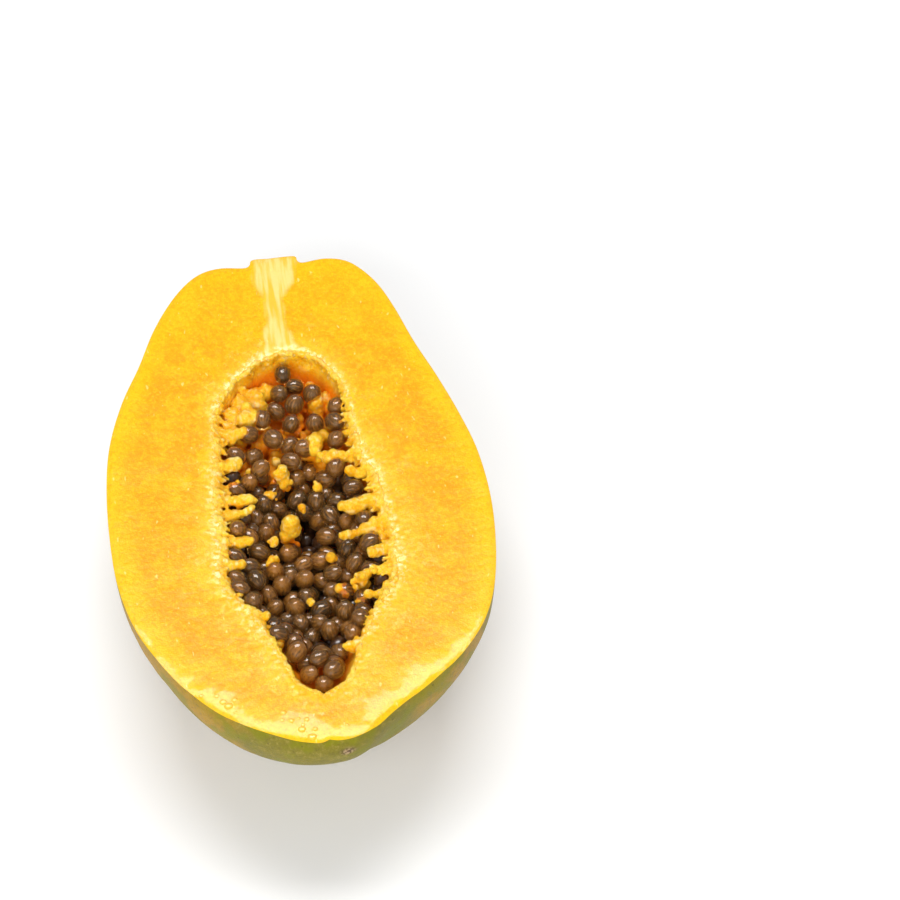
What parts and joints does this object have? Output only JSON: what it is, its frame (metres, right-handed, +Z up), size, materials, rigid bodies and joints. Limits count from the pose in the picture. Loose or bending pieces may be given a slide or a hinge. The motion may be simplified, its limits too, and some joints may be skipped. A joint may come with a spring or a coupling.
{
  "type": "papaya half",
  "caption": "Ripe papaya cut lengthwise, lying on its rounded back with the cut face level: flesh, skin, stem stub and an open cavity filled with seeds.",
  "frame": {"origin": "on the surface that the half fruit rests on, under the middle of its bounding box", "axes": "+Y along the fruit towards the stem end, +Z up, square to the level cut face, +X to the right seen from the blossom end"},
  "size_m": [0.1297, 0.2145, 0.0632],
  "materials": {
    "papaya_flesh": "moist yellow-orange flesh, yellow to green skin",
    "papaya_seed": "wet glossy dark brown in clear jelly"
  },
  "bodies": {
    "root": {"papaya_half": "papaya_flesh", "seeds": "papaya_seed"}
  },
  "joints": []
}
